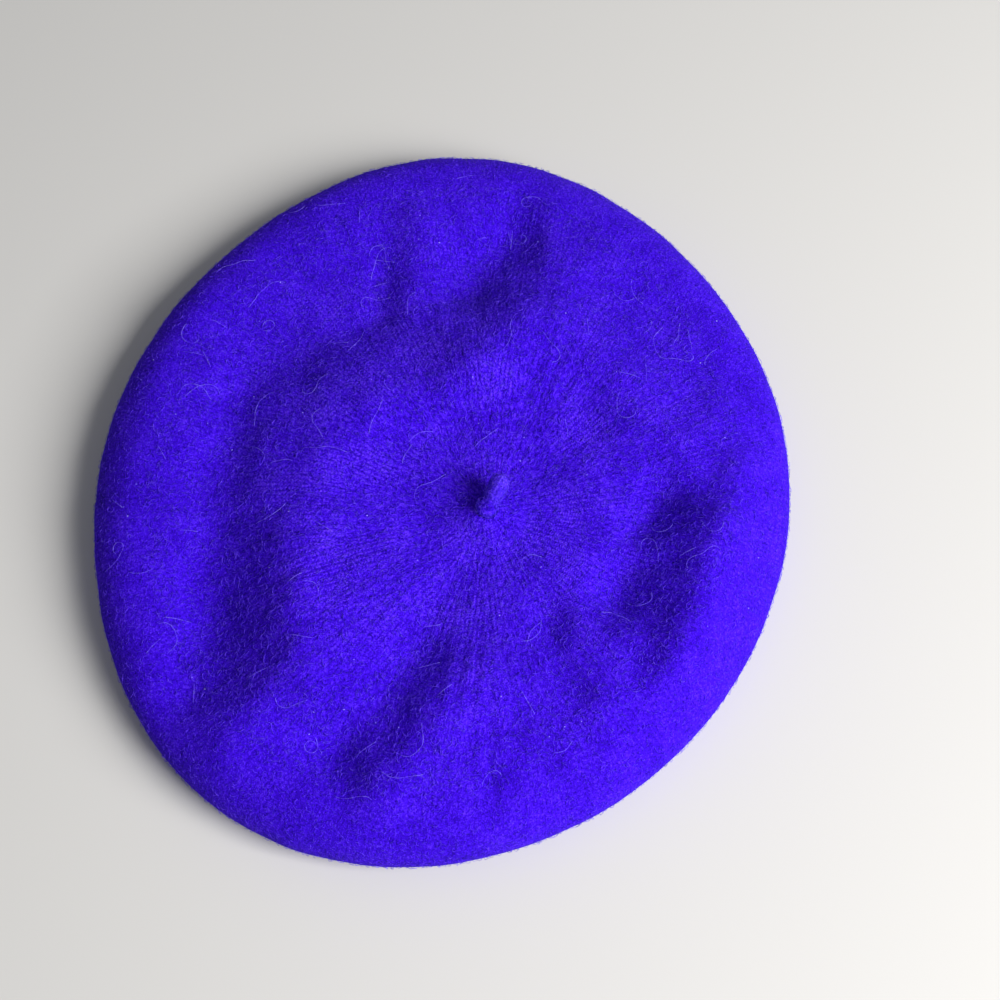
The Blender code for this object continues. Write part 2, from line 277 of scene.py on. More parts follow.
# start, end, width and rise in millimetres
feltFolds = {
    "frontCrease": ((-8.0, -76.0), (-35.0, -110.0), 11.0, -4.2),
    "frontRoll": ((12.0, -88.0), (-17.0, -124.0), 12.0, 4.2),
    "frontDip": ((6.0, -46.0), (-4.0, -64.0), 11.0, -1.2),
    "frontCheek": ((-26.0, -50.0), (-42.0, -88.0), 18.0, 2.6),
    "rightHollow": ((64.0, -55.0), (80.0, -16.0), 11.0, -5.2),
    "rightRoll": ((88.0, -78.0), (102.0, -34.0), 12.0, 6.4),
    "rightKnuckle": ((104.0, -22.0), (112.0, -6.0), 10.0, 2.2),
    "nearFurrow": ((38.0, -60.0), (42.0, -82.0), 7.0, -1.8),
    "nearRib": ((56.0, -98.0), (62.0, -120.0), 7.0, 1.4),
    "nearDip": ((22.0, -124.0), (48.0, -126.0), 9.0, -2.0),
    "eastDimple": ((50.0, 22.0), (56.0, 10.0), 12.0, -1.6),
    "westCrest": ((-53.0, -84.0), (-50.0, -40.0), 14.0, 4.6),
    "westShoulder": ((-48.0, -14.0), (-32.0, 22.0), 15.0, 2.6),
    "lowerCrest": ((-62.0, -94.0), (-74.0, -106.0), 13.0, 3.2),
    "leftHollow": ((-92.0, -90.0), (-84.0, -60.0), 14.0, -4.4),
    "leftTrough": ((-83.0, -40.0), (-78.0, 22.0), 14.0, -2.4),
    "leftRoll": ((-112.0, -20.0), (-98.0, 70.0), 15.0, 1.8),
    "farCrest": ((-24.0, 20.0), (10.0, 34.0), 13.0, 3.0),
    "farRidge": ((14.0, 38.0), (52.0, 84.0), 17.0, 4.6),
    "farRise": ((40.0, 90.0), (44.0, 112.0), 9.0, 1.4),
    "farTrough": ((-56.0, 50.0), (-12.0, 64.0), 13.0, -2.6),
    "farHollow": ((10.0, 74.0), (22.0, 98.0), 13.0, -5.0),
    "farRib": ((-14.0, 68.0), (-9.0, 108.0), 9.0, 2.2),
    "farFurrow": ((-27.0, 66.0), (-25.0, 98.0), 7.0, -1.4),
}


def smoothShare(share):
    share = np.clip(share, 0.0, 1.0)
    return share * share * (3.0 - 2.0 * share)


def rimOutline(shape, count=3600):
    angles = np.arange(count) * 2.0 * math.pi / count
    radius = np.full(count, shape["rimRadius"])
    for lobes, share, turn in shape["lobes"]:
        radius += shape["rimRadius"] * share * np.cos(lobes * (angles - math.radians(turn)))
    return np.stack([radius * np.cos(angles), radius * np.sin(angles)], axis=1)


rimPoints = rimOutline(feltShape)
rimPoints -= (rimPoints.min(axis=0) + rimPoints.max(axis=0)) / 2.0


def reachOf(angles):
    # distance from the crown's middle to the rim in each direction
    arms = rimPoints - crownMiddle
    bearing = np.unwrap(np.arctan2(arms[:, 1], arms[:, 0]))
    length = np.hypot(arms[:, 0], arms[:, 1])
    turned = bearing[0] + np.mod(angles - bearing[0], 2.0 * math.pi)
    return np.interp(turned, np.append(bearing, bearing[0] + 2.0 * math.pi),
                     np.append(length, length[0]))


def middleDistance(x, y):
    return np.hypot(x - crownMiddle[0], y - crownMiddle[1])


def foldRise(x, y, folds):
    rise = np.zeros_like(x)
    for start, end, width, height in folds.values():
        along = np.array(end) - np.array(start)
        share = np.clip(((x - start[0]) * along[0] + (y - start[1]) * along[1])
                        / along.dot(along), 0.0, 1.0)
        gap = np.hypot(x - start[0] - along[0] * share, y - start[1] - along[1] * share)
        rise += height * np.exp(-(gap / width) ** 2)
    return rise


def middleHeight(shape):
    # the felt's outer skin just under the stem's root
    return stemHinge[2] - shape["rootRadius"] - shape["rootGap"]


def crownHeight(x, y, shape, folds):
    # outer skin of the crown before it rolls over the rim
    distance = middleDistance(x, y)
    atMiddle = foldRise(crownMiddle[:1], crownMiddle[1:], folds)[0]
    depth = shape["crownTop"] + atMiddle - middleHeight(shape)
    sag = depth * (1.0 - smoothShare(distance / shape["crestRadius"]))
    fall = ((shape["crownTop"] - shape["slackHeight"])
            * smoothShare((distance - shape["crestRadius"]) / shape["crestFall"]))
    height = shape["crownTop"] - sag - fall + foldRise(x, y, folds)
    reach = shape["supportReach"]
    held = (shape["hemSupport"] * smoothShare((distance - shape["bandRadius"] + reach) / reach)
            * (1.0 - smoothShare((distance - shape["hemRadius"] - shape["lipRadius"]) / reach)))
    return (height + held + np.sqrt((height - held) ** 2 + shape["supportBlend"] ** 2)) / 2.0


def stemSeat(x, y, shape):
    # a soft mound of felt with a socket for the stem's root
    distance = middleDistance(x, y)
    socket = shape["socketRadius"]
    bowl = socket - np.sqrt(np.maximum(socket ** 2 - distance ** 2, 0.0))
    turn = np.arctan2(y - crownMiddle[1], x - crownMiddle[0]) - math.radians(shape["seatTurn"])
    rise = shape["seatRise"] * (1.0 - shape["seatSkew"] * np.cos(turn))
    mound = rise * (1.0 - smoothShare((distance - socket * 0.9) / shape["seatReach"])) ** 2
    return np.where(distance < socket, np.minimum(bowl, mound), mound)


def crownRows(shape, grid, rim):
    # plan radius and height share of every crown row, hole to rim, for one rim distance
    flatEnd = rim - shape["rimRoll"]
    steps = np.linspace(0.0, 1.0, grid["crownRows"] + 1) ** 1.25
    radius = list(shape["holeRadius"] + (flatEnd - shape["holeRadius"]) * steps)
    share = [1.0] * len(radius)
    for turn in np.linspace(0.0, math.pi / 2.0, grid["rollRows"] + 1)[1:]:
        radius.append(flatEnd + shape["rimRoll"] * math.sin(turn))
        share.append(math.cos(turn))
    return np.array(radius), np.array(share)


def undersideRows(shape, grid, rim):
    # plan radius and height of every row from below the rim to the hem's edge
    outer = shape["hemRadius"] + shape["lipRadius"]
    width = rim - outer
    roll = shape["underRoll"] * width / (width + shape["underRoll"])
    radius, height = [], []
    for turn in np.linspace(0.0, math.pi / 2.0, grid["underRollRows"] + 1)[1:]:
        radius.append(rim - roll * (1.0 - math.cos(turn)))
        height.append(shape["rimHeight"] * (1.0 - math.sin(turn)))
    for share in np.linspace(0.0, 1.0, grid["underRows"] + 1)[1:]:
        radius.append(rim - roll + (outer - rim + roll) * share)
        height.append(0.0)
    for turn in np.linspace(0.0, math.pi / 2.0, grid["lipRows"] + 1)[1:]:
        radius.append(outer - shape["lipRadius"] * math.sin(turn))
        height.append(shape["lipRadius"] * (1.0 - math.cos(turn)))
    for share in np.linspace(0.0, 1.0, grid["hemRows"] + 1)[1:]:
        radius.append(shape["hemRadius"])
        height.append(shape["lipRadius"] + (shape["hemHeight"] - shape["lipRadius"]) * share)
    return np.array(radius), np.array(height)


def feltSurface(shape, grid, folds):
    # points of the outer skin: rows from the hole to the hem, directions, and x y z
    angles = np.arange(grid["around"]) * 2.0 * math.pi / grid["around"]
    columns = []
    for angle, rim in zip(angles, reachOf(angles)):
        radius, share = crownRows(shape, grid, rim)
        x = crownMiddle[0] + radius * math.cos(angle)
        y = crownMiddle[1] + radius * math.sin(angle)
        top = crownHeight(x, y, shape, folds) + stemSeat(x, y, shape)
        z = shape["rimHeight"] + (top - shape["rimHeight"]) * share
        underRadius, underHeight = undersideRows(shape, grid, rim)
        underX = crownMiddle[0] + underRadius * math.cos(angle)
        underY = crownMiddle[1] + underRadius * math.sin(angle)
        columns.append(np.stack([np.append(x, underX), np.append(y, underY),
                                 np.append(z, underHeight)], axis=1))
    return np.stack(columns, axis=1)


def gridMesh(name, points, closed=True, looped=False):
    # mesh of a grid of points in millimetres, closed round in its second direction or not,
    # and looped back from its last row to its first or not
    rows, around = points.shape[:2]
    mesh = bpy.data.meshes.new(name)
    index = np.arange(rows * around).reshape(rows, around)
    below = np.roll(index, -1, axis=0)
    faces = np.stack([index, below, np.roll(below, -1, axis=1), np.roll(index, -1, axis=1)],
                     axis=-1)
    if not looped:
        faces = faces[:-1]
    if not closed:
        faces = faces[:, :-1]
    mesh.from_pydata((points.reshape(-1, 3) * mm).tolist(), [], faces.reshape(-1, 4).tolist())
    mesh.validate()
    return mesh


def gridNormals(points):
    # outward directions of a skin closed round in its second direction
    down = np.gradient(points, axis=0)
    side = np.roll(points, -1, axis=1) - np.roll(points, 1, axis=1)
    normals = np.cross(down, side)
    return normals / np.maximum(np.linalg.norm(normals, axis=2, keepdims=True), 1e-9)


# Slump of the felt: the skin is let go as slightly overgrown cloth, held at the stem and from
# the rim down, and its wrinkles are laid onto the fine skin.

slumpSetup = {
    "rowStep": 2,
    "columnStep": 3,
    "heldMiddleRows": 10,     # of the coarse skin
    "heldRimRows": 6,
    "frames": 18,
    "growth": 0.02,
    "gravity": 0.03,
    "bending": 2.5,
    "tension": 12.0,
    "quality": 6,
    "cap": 1.6,               # furthest any point moves, millimetres
    "smoothing": 6,
}


def spreadRows(values, count):
    # resamples rows and closed columns to a finer grid
    rows, around = values.shape[:2]
    fineRows, fineAround = count
    rowPlace = np.linspace(0.0, rows - 1.0, fineRows)
    low = np.minimum(rowPlace.astype(int), rows - 2)
    share = (rowPlace - low)[:, None, None]
    values = values[low] * (1.0 - share) + values[low + 1] * share
    columnPlace = np.arange(fineAround) * around / fineAround
    low = columnPlace.astype(int)
    share = (columnPlace - low)[None, :, None]
    return values[:, low] * (1.0 - share) + values[:, (low + 1) % around] * share


def slumpFelt(points, grid, setup):
    coarse = points[::setup["rowStep"], ::setup["columnStep"]]
    rows, around = coarse.shape[:2]
    cloth = bpy.data.objects.new("slumpingFelt", gridMesh("slumpingFelt", coarse))
    bpy.context.scene.collection.objects.link(cloth)
    rimRow = (grid["crownRows"] + grid["rollRows"]) // setup["rowStep"]
    lastFree = rimRow - setup["heldRimRows"]
    freedom = (smoothShare(np.arange(rows) / setup["heldMiddleRows"])
               * smoothShare((lastFree - np.arange(rows)) / setup["heldRimRows"]))
    held = cloth.vertex_groups.new(name="held")
    for row in range(rows):
        held.add(list(range(row * around, (row + 1) * around)), 1.0 - freedom[row], "REPLACE")
    letGo = cloth.modifiers.new("letGo", "CLOTH")
    letGo.settings.quality = setup["quality"]
    letGo.settings.vertex_group_mass = "held"
    letGo.settings.shrink_min = -setup["growth"]
    letGo.settings.shrink_max = -setup["growth"]
    letGo.settings.tension_stiffness = setup["tension"]
    letGo.settings.compression_stiffness = setup["tension"]
    letGo.settings.bending_stiffness = setup["bending"]
    letGo.settings.effector_weights.gravity = setup["gravity"]
    letGo.collision_settings.use_collision = False
    letGo.point_cache.frame_start = 1
    letGo.point_cache.frame_end = setup["frames"]
    for step in range(1, setup["frames"] + 1):
        bpy.context.scene.frame_set(step)
    settled = cloth.evaluated_get(bpy.context.evaluated_depsgraph_get()).data
    place = np.empty(len(settled.vertices) * 3)
    settled.vertices.foreach_get("co", place)
    moved = (place.reshape(coarse.shape) / mm - coarse) * freedom[:, None, None]
    length = np.linalg.norm(moved, axis=2, keepdims=True)
    moved *= setup["cap"] * np.tanh(length / setup["cap"]) / np.maximum(length, 1e-9)
    bpy.data.objects.remove(cloth)
    bpy.context.scene.frame_set(1)
    moved = spreadRows(moved, points.shape[:2])
    for _ in range(setup["smoothing"]):
        moved = (2.0 * moved + np.roll(moved, 1, axis=1) + np.roll(moved, -1, axis=1)) / 4.0
        moved[1:-1] = (2.0 * moved[1:-1] + moved[:-2] + moved[2:]) / 4.0
    length = np.linalg.norm(moved, axis=2)
    print("felt slump: mean", round(float(length.mean()), 2), "mm, most",
          round(float(length.max()), 2), "mm")
    return points + moved


feltLumps = {
    "lumpPitch": 16.0,        # millimetres
    "lumpHeight": 1.15,
    "streakCount": 26.0,      # streaks round the middle, over two pi
    "streakLength": 34.0,
    "streakHeight": 0.42,
    "streakFrom": 60.0,       # full height from here out
    "pucklePitch": 5.5,
    "puckleHeight": 0.16,
    "plainMiddle": 7.0,       # no lumps near the stem or the floor
    "middleBlend": 14.0,
    "floorBlend": 12.0,
    "rimCalm": 0.65,
}


def lumpRises(points, setup):
    # height of the soft lumps, and of the streaks from the middle with a fine unevenness
    soft, fine = np.zeros(points.shape[:2]), np.zeros(points.shape[:2])
    distance = middleDistance(points[..., 0], points[..., 1])
    for spot, away in np.ndenumerate(distance):
        place = Vector(points[spot])
        angle = math.atan2(place.y - crownMiddle[1], place.x - crownMiddle[0])
        along = Vector((setup["streakCount"] * math.cos(angle),
                        setup["streakCount"] * math.sin(angle), away / setup["streakLength"]))
        soft[spot] = setup["lumpHeight"] * noise.noise(place / setup["lumpPitch"])
        streak = noise.noise(along) * min(away / setup["streakFrom"], 1.0)
        fine[spot] = (setup["streakHeight"] * streak
                      + setup["puckleHeight"] * noise.noise(place / setup["pucklePitch"]))
    rows = np.arange(points.shape[0])[:, None]
    hemRows = feltGrid["lipRows"] + feltGrid["hemRows"]
    kept = smoothShare((distance - setup["plainMiddle"]) / setup["middleBlend"])
    kept *= smoothShare(points[..., 2] / setup["floorBlend"])
    kept *= 1.0 - setup["rimCalm"] * smoothShare((rows - feltGrid["crownRows"])
                                                 / feltGrid["rollRows"] * 2.0)
    kept *= 1.0 - smoothShare((rows - points.shape[0] + 1 + hemRows) / feltGrid["lipRows"])
    return soft * kept, fine * kept


def knitMap(mesh, points, grid):
    # UV map in millimetres: across and along the knitted columns, which run out from the
    # middle in wedges and carry on round the rim
    rows, around = points.shape[:2]
    steps = np.linalg.norm(np.diff(points, axis=0), axis=2).mean(axis=1)
    path = np.concatenate([[0.0], np.cumsum(steps)]) + grid["knitStart"]
    radius = middleDistance(points[..., 0], points[..., 1])
    perSector = around // grid["knitSectors"]
    column = np.arange(around)
    values = np.zeros((rows - 1, around, 4, 2))
    for corner, (down, side) in enumerate(((0, 0), (1, 0), (1, 1), (0, 1))):
        sector = column // perSector
        place = column + side - (sector + 0.5) * perSector
        offset = place * 2.0 * math.pi / around
        reach = radius[down:rows - 1 + down][:, (column + side) % around]
        values[:, :, corner, 0] = reach * np.sin(offset) + grid["knitApart"] * sector
        values[:, :, corner, 1] = (path[down:rows - 1 + down, None]
                                   - reach * (1.0 - np.cos(offset)))
    setUv(mesh, "knitMap", values)


# Felt finish

feltFinish = {
    "deep": (0.007, 0.0003, 0.165),
    "body": (0.041, 0.0022, 0.67),
    "pale": (0.142, 0.038, 1.0),
    "toneStops": (0.405, 0.548, 0.712),
    "fuzzPitch": 0.50,        # millimetres
    "tuftPitch": 1.15,
    "streakWidth": 0.75,
    "streakLength": 2.6,
    "mottleScale": 110.0,     # across one metre
    "patchScale": 38.0,
    "patchRange": (0.36, 0.60),
    "walePitch": 1.7,
    "waleWander": 1.6,
    "wanderScale": 160.0,
    "coursePitch": 1.25,
    "stitchSlant": 1.3,
    "fadeRange": (55.0, 115.0),   # the knit fades from the middle out, millimetres
    "fadeTo": 0.35,
    "relief": {"fuzz": 0.8, "tuft": 1.0, "streak": 0.70, "knit": 2.2},
    "tone": {"fuzz": 0.37, "tuft": 0.24, "streak": 0.32, "mottle": 0.12, "knit": 0.58},
    "toneBase": 0.16,
    "roughness": 0.95,
    "specular": 0.05,
    "sheen": 0.06,
    "sheenRoughness": 0.5,
    "sheenTint": (0.36, 0.22, 1.0),
    "bump": 0.9,
    "bumpHeight": 0.45,       # millimetres
}


def makeFeltMaterial(name, finish):
    material, shader, add, calc = newMaterial(name)
    place = add("ShaderNodeTexCoord").outputs["Object"]
    knit = add("ShaderNodeUVMap", uv_map="knitMap").outputs[0]
    split = add("ShaderNodeSeparateXYZ", {0: knit}).outputs
    stretched = add("ShaderNodeMapping",
                    {"Vector": knit, "Scale": (1.0 / finish["streakWidth"],
                                               1.0 / finish["streakLength"], 1.0)}).outputs[0]
    fuzz = noiseAt(add, place, 1.0 / (finish["fuzzPitch"] * mm), 2.0, 0.6, 0.8)
    tuft = noiseAt(add, place, 1.0 / (finish["tuftPitch"] * mm), 2.0, 0.6, 0.5)
    streak = noiseAt(add, stretched, 1.0, 2.0, 0.5, 0.4)
    mottle = noiseAt(add, place, finish["mottleScale"], 3.0, 0.6)
    patches = noiseAt(add, place, finish["patchScale"], 2.0)

    # stocking stitch, seen through the fuzz in patches
    wander = calc("MULTIPLY", noiseAt(add, place, finish["wanderScale"], 1.0),
                  finish["waleWander"])
    across = calc("DIVIDE", calc("ADD", split["X"], wander), finish["walePitch"])
    wale = calc("PINGPONG", across, 0.5)
    along = calc("DIVIDE", split["Y"], finish["coursePitch"])
    slant = calc("MULTIPLY", wale, finish["stitchSlant"])
    stitch = calc("MULTIPLY", wale, calc("PINGPONG", calc("ADD", along, slant), 0.5))
    seen = mapRange(add, patches, *finish["patchRange"])
    clear = mapRange(add, split["Y"], *finish["fadeRange"], 1.0, finish["fadeTo"])
    parts = {"fuzz": fuzz, "tuft": tuft,
             "streak": calc("MULTIPLY", calc("SUBTRACT", streak, 0.5), clear),
             "knit": calc("MULTIPLY", calc("MULTIPLY", stitch, seen), clear)}
    relief = weighedSum(calc, parts, finish["relief"])
    tone = calc("ADD", weighedSum(calc, {**parts, "mottle": mottle}, finish["tone"]),
                finish["toneBase"])

    def tinted(colors):
        shades = (colors["deep"], colors["body"], colors["pale"])
        return colorRamp(add, tone, tuple(zip(finish["toneStops"], shades)))

    color = tinted(finish)
    # painted highlight: along this range the colour turns from the crown's felt to the finish's
    # own paler colours
    if "paintedHighlightRange" in finish:
        share = mapRange(add, split["Y"], *finish["paintedHighlightRange"])
        color = add("ShaderNodeMix", {0: share, 6: tinted(feltFinish), 7: color},
                    data_type="RGBA").outputs[2]
    fillInputs(shader, {"Base Color": color, "Roughness": finish["roughness"],
                        "Specular IOR Level": finish["specular"],
                        "Sheen Weight": finish["sheen"],
                        "Sheen Roughness": finish["sheenRoughness"],
                        "Sheen Tint": (*finish["sheenTint"], 1.0),
                        "Normal": bumpNormal(add, relief, finish["bump"],
                                             finish["bumpHeight"])})
    return material


feltMaterial = makeFeltMaterial("blueVioletFelt", feltFinish)


def makeFelt(shape, grid, folds):
    points = feltSurface(shape, grid, folds)
    points = slumpFelt(points, grid, slumpSetup)
    normals = gridNormals(points)
    soft, fine = lumpRises(points, feltLumps)
    outside = points + normals * (soft + fine)[..., None]
    inside = points + normals * (soft - shape["thickness"])[..., None]
    wall = np.concatenate([outside, inside[::-1]])
    mesh = gridMesh("beretFelt", wall, looped=True)
    knitMap(mesh, np.concatenate([wall, wall[:1]]), grid)
    return addPiece("beretFelt", mesh, feltMaterial), outside


felt, feltPoints = makeFelt(feltShape, feltGrid, feltFolds)
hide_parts("felt_body")
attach(felt, "beret")
print("felt shell:", len(felt.data.polygons), "faces")

# Stem: a felted nub that leans in its socket

stemSetup = {
    "azimuth": 57.0,
    "elevation": 33.0,
    "length": 13.5,           # hinge to tip
    "rootRadius": 3.9,
    "neckRadius": 2.9,
    "tipRadius": 3.3,
    "neckEnd": 2.5,           # from here the nub widens to its tip
    "tipBlend": 5.0,
    "bow": 0.35,
    "lumpPitch": 2.6,
    "lumpHeight": 0.35,
    "lumpFrom": -1.0,
    "lumpBlend": 4.0,
    "rings": 44,
    "around": 56,
}


# painted highlight: the stem is painted paler than the crown, most of all toward its tip, where
# the light falls on it; the range is in millimetres from the root's end
stemHighlightFinish = {
    **feltFinish,
    "deep": (0.020, 0.001, 0.34),
    "body": (0.100, 0.028, 1.0),
    "pale": (0.290, 0.160, 1.0),
    "paintedHighlightRange": (7.0, 13.0),
}


def stemAxes(setup):
    # columns are the stem's own x, y and z
    turn = Matrix.Rotation(math.radians(setup["azimuth"]), 3, "Z")
    lean = Matrix.Rotation(math.radians(90.0 - setup["elevation"]), 3, "Y")
    return turn @ lean


def stemRadius(height, setup):
    root, neck, tip = setup["rootRadius"], setup["neckRadius"], setup["tipRadius"]
    tipMiddle = setup["length"] - tip
    ball = math.sqrt(max(root ** 2 - height ** 2, 0.0))
    if height < 0.0:
        return ball
    if height > tipMiddle:
        return math.sqrt(max(tip ** 2 - (height - tipMiddle) ** 2, 0.0))
    share = smoothShare((height - setup["neckEnd"]) / setup["tipBlend"])
    return max(ball, neck + (tip - neck) * float(share))


def makeStem(setup):
    axes = stemAxes(setup)
    start = -setup["rootRadius"]
    length = setup["length"] - start
    grid = np.zeros((setup["rings"] + 1, setup["around"], 3))
    for ring in range(setup["rings"] + 1):
        height = start + length * (1.0 - math.cos(math.pi * ring / setup["rings"])) / 2.0
        radius = stemRadius(height, setup)
        bow = setup["bow"] * math.sin(math.pi * max(height, 0.0) / setup["length"])
        for step in range(setup["around"]):
            angle = -2.0 * math.pi * step / setup["around"]
            flat = Vector((radius * math.cos(angle), radius * math.sin(angle), height))
            lump = noise.noise(flat / setup["lumpPitch"]) * setup["lumpHeight"]
            lump *= min(radius / 2.0, 1.0)
            lump *= min(max(height - setup["lumpFrom"], 0.0) / setup["lumpBlend"], 1.0)
            spot = Vector(((radius + lump) * math.cos(angle) + bow,
                           (radius + lump) * math.sin(angle), height))
            grid[ring, step] = Vector(stemHinge) + axes @ spot
    mesh = gridMesh("beretStem", grid)
    ring, step = cornerPlaces(mesh, setup["around"])
    across = step * 2.0 * math.pi * setup["neckRadius"] / setup["around"]
    setUv(mesh, "knitMap", np.stack([across, ring * length / setup["rings"]], axis=1))
    cleanMesh(mesh, weld=0.002)
    return addPiece("beretStem", mesh, makeFeltMaterial("stemFeltPaintedHighlight", stemHighlightFinish))


stem = makeStem(stemSetup)
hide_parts("stem")
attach(stem, "stem")
print("stem:", len(stem.data.polygons), "faces")

# Tubes along paths, for the knot, the threads and the loose hairs


def tubeMesh(name, paths, radius, sides=3, closed=False):
    curve = bpy.data.curves.new(name, "CURVE")
    curve.dimensions = "3D"
    curve.bevel_depth = radius * mm
    curve.bevel_resolution = sides
    curve.use_fill_caps = not closed
    for path in paths:
        line = curve.splines.new("POLY")
        line.points.add(len(path) - 1)
        line.use_cyclic_u = closed
        for index, point in enumerate(path):
            line.points[index].co = (*(Vector(point[:3]) * mm), 1.0)
            line.points[index].radius = point[3] if len(point) > 3 else 1.0
    item = bpy.data.objects.new(name, curve)
    bpy.context.scene.collection.objects.link(item)
    mesh = plainMesh(item)
    bpy.data.objects.remove(item)
    cleanMesh(mesh, weld=0.0005)
    return mesh


def joinedMesh(name, meshes):
    whole = bmesh.new()
    for mesh in meshes:
        whole.from_mesh(mesh)
        bpy.data.meshes.remove(mesh)
    mesh = bpy.data.meshes.new(name)
    whole.to_mesh(mesh)
    whole.free()
    return mesh


# Anchor of the stem: its tail goes through the crown's hole and ends in a knot

anchorSetup = {
    "tailRadius": 1.7,
    "strandRadius": 1.15,
    "knotReach": 1.22,
    "knotHeight": 0.75,
    "gap": 0.3,
    "tailInset": 0.05,
    "tailSteps": (0.0, 0.33, 0.66, 1.0),
    "steps": 72,
}


def makeAnchorKnot(setup, shape, finish):
    knotTop = middleHeight(shape) - shape["thickness"] - setup["gap"]
    knotMiddle = knotTop - setup["strandRadius"] - setup["knotHeight"]
    tailTop = middleHeight(shape) - setup["tailInset"]
    knot = []
    for step in range(setup["steps"]):
        turn = 2.0 * math.pi * step / setup["steps"]
        x = (math.sin(turn) + 2.0 * math.sin(2.0 * turn)) * setup["knotReach"]
        y = (math.cos(turn) - 2.0 * math.cos(2.0 * turn)) * setup["knotReach"]
        z = -math.sin(3.0 * turn) * setup["knotHeight"]
        knot.append((crownMiddle[0] + x, crownMiddle[1] + y, knotMiddle + z))
    tail = [(*crownMiddle, tailTop - share * (tailTop - knotMiddle))
            for share in setup["tailSteps"]]
    meshes = [tubeMesh("knot", [knot], setup["strandRadius"], 4, closed=True),
              tubeMesh("tail", [tail], setup["tailRadius"], 4)]
    return addPiece("anchorKnot", joinedMesh("anchorKnot", meshes), finish)


# Ribbon, threads and labels

bandSetup = {
    "lowEdge": 2.5,
    "width": 17.0,
    "thickness": 0.8,
    "lapGap": 0.3,
    "joinAngle": 105.0,
    "lapAngle": 7.5,
    "rampAngle": 7.5,
    "ribPitch": 1.0,
    "ribDepth": 0.12,
    "samplesPerRib": 4,
    "selvedge": 0.9,
    "hemRelief": 0.06,        # share of the ribs' depth at the ribbon's very edges
    "edgeStep": 0.25,
    "ribbonColor": (0.019, 0.007, 0.17),
    "ribbonPale": (0.050, 0.022, 0.34),
    "tone": {"rib": 0.7, "grain": 0.35, "worn": 0.35},
}

threadSetup = {
    "radius": 0.32,
    "color": (0.035, 0.010, 0.38),
    "stitchPitch": 3.4,
    "stitchLength": 2.7,
    "halfShare": 0.54,        # half of a stitch over the run between its ends
    "bandLift": 0.16,
    "labelLift": 0.14,
    "seamHeight": 4.1,
    "seamInset": 1.6,
    "tackSpread": 1.3,        # degrees to each side
    "tackCount": 14,
    "labelStitches": (8, 3),  # along the size label and across it
    "careSeamInset": 0.7,
}

labelSetup = {
    "color": (0.74, 0.73, 0.70),
    "shade": (0.52, 0.51, 0.49),
    "weavePitch": 0.28,
    "tone": {"weave": 0.45, "slub": 0.6},
    "sizeAngle": 120.0,
    "sizeSpan": 15.0,
    "sizeLow": 4.75,
    "sizeHeight": 10.5,
    "sizeThickness": 0.4,     # room for the label and its ripples
    "sizeSheet": 0.28,
    "sizeLift": 0.08,
    "ripple": 0.10,
    "sizeGrid": (15, 33),
    "gap": 0.3,
    "stitchInset": 1.2,
    "careWidth": 20.0,
    "careSheet": 0.3,
    "careColumns": 25,
    "careShares": (0.85, 0.7, 0.5, 0.3, 0.15),   # rows of a hanging side, by height
    "careFold": 10,
    "careEase": 0.02,         # both ends draw in a little
    "carePinch": 0.9,
}


def makeGrosgrain(setup):
    material, shader, add, calc = newMaterial("grosgrainRibbon")
    place = add("ShaderNodeTexCoord").outputs["Object"]
    ribs = add("ShaderNodeUVMap", uv_map="ribMap").outputs[0]
    split = add("ShaderNodeSeparateXYZ", {0: ribs}).outputs
    weave = calc("PINGPONG", calc("MULTIPLY", split["Y"], 3.2), 0.5)
    grain = noiseAt(add, place, 1400.0, 3.0, 0.6)
    tone = weighedSum(calc, {"rib": calc("PINGPONG", split["X"], 0.5), "grain": grain,
                             "worn": noiseAt(add, place, 90.0, 2.0)}, setup["tone"])
    color = colorRamp(add, tone, ((0.32, setup["ribbonColor"]), (0.85, setup["ribbonPale"])))
    relief = calc("ADD", weave, calc("MULTIPLY", grain, 0.5))
    fillInputs(shader, {"Base Color": color, "Roughness": 0.62, "Sheen Weight": 0.15,
                        "Normal": bumpNormal(add, relief, 0.5, 0.08)})
    return material


def makeThreadMaterial(setup):
    material, shader, add, _ = newMaterial("sewingThread")
    place = add("ShaderNodeTexCoord").outputs["Object"]
    twist = add("ShaderNodeTexWave", {"Vector": place, "Scale": 900.0, "Distortion": 1.5,
                                      "Detail": 1.0}, bands_direction="DIAGONAL").outputs["Fac"]
    low = tuple(value * 0.55 for value in setup["color"])
    high = tuple(min(value * 1.7 + 0.02, 1.0) for value in setup["color"])
    fillInputs(shader, {"Base Color": colorRamp(add, twist, ((0.2, low), (0.9, high))),
                        "Roughness": 0.5, "Normal": bumpNormal(add, twist, 0.5, 0.06)})
    return material


def makeSatin(setup):
    material, shader, add, calc = newMaterial("labelSatin")
    place = add("ShaderNodeTexCoord").outputs["Object"]
    weaveScale = 1.0 / (setup["weavePitch"] * mm * 6.28)
    weave = add("ShaderNodeTexWave", {"Vector": place, "Scale": weaveScale, "Distortion": 0.6,
                                      "Detail": 1.0}, bands_direction="Z").outputs["Fac"]
    tone = weighedSum(calc, {"weave": weave, "slub": noiseAt(add, place, 420.0, 3.0, 0.55)},
                      setup["tone"])
    color = colorRamp(add, tone, ((0.25, setup["shade"]), (0.75, setup["color"])))
    fillInputs(shader, {"Base Color": color, "Roughness": 0.42, "Anisotropic": 0.4,
                        "Sheen Weight": 0.2, "Normal": bumpNormal(add, tone, 0.4, 0.05)})
    return material


grosgrain = makeGrosgrain(bandSetup)
threadMaterial = makeThreadMaterial(threadSetup)
satin = makeSatin(labelSetup)


def ringSpot(angle, radius, height):
    turn = math.radians(angle)
    return (crownMiddle[0] + radius * math.cos(turn), crownMiddle[1] + radius * math.sin(turn),
            height)


